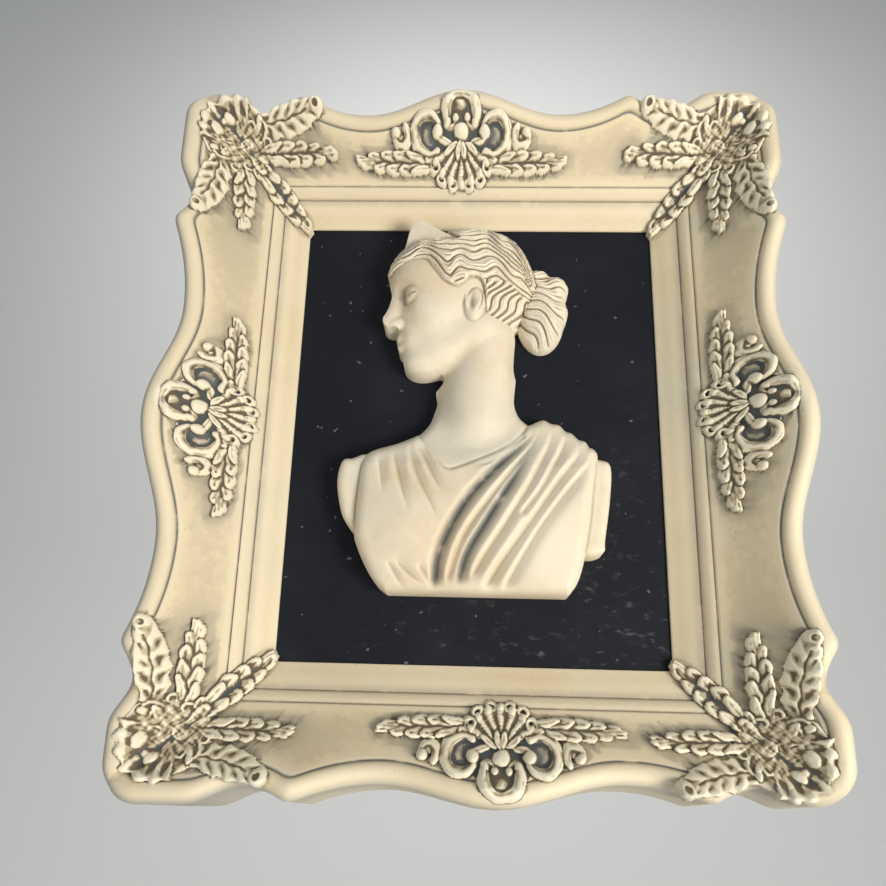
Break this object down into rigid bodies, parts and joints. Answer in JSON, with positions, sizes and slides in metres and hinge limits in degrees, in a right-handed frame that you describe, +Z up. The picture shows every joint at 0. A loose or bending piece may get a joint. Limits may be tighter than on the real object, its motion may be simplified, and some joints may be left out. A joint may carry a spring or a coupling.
{
  "type": "relief plaque",
  "caption": "Wall plaque: a draped classical bust in high relief on a dark panel, set in a deep swept frame with carved corners and cartouches.",
  "frame": {"origin": "middle of the top rail's flat back, where the plaque hangs on the wall", "axes": "+Y out of the back, into the wall; the front faces -Y; +Z up along the longer side; +X to the viewer's right"},
  "size_m": [0.349, 0.0672, 0.3941],
  "materials": {
    "frame": "cream painted cast plaster with a thin umber-grey wash in the carving",
    "backboard": "blue-black painted panel, satin, a little scuffed",
    "bust": "matt warm ivory cast plaster with light staining"
  },
  "bodies": {
    "root": {"frame": "frame", "backboard": "backboard", "bust": "bust"}
  },
  "joints": []
}
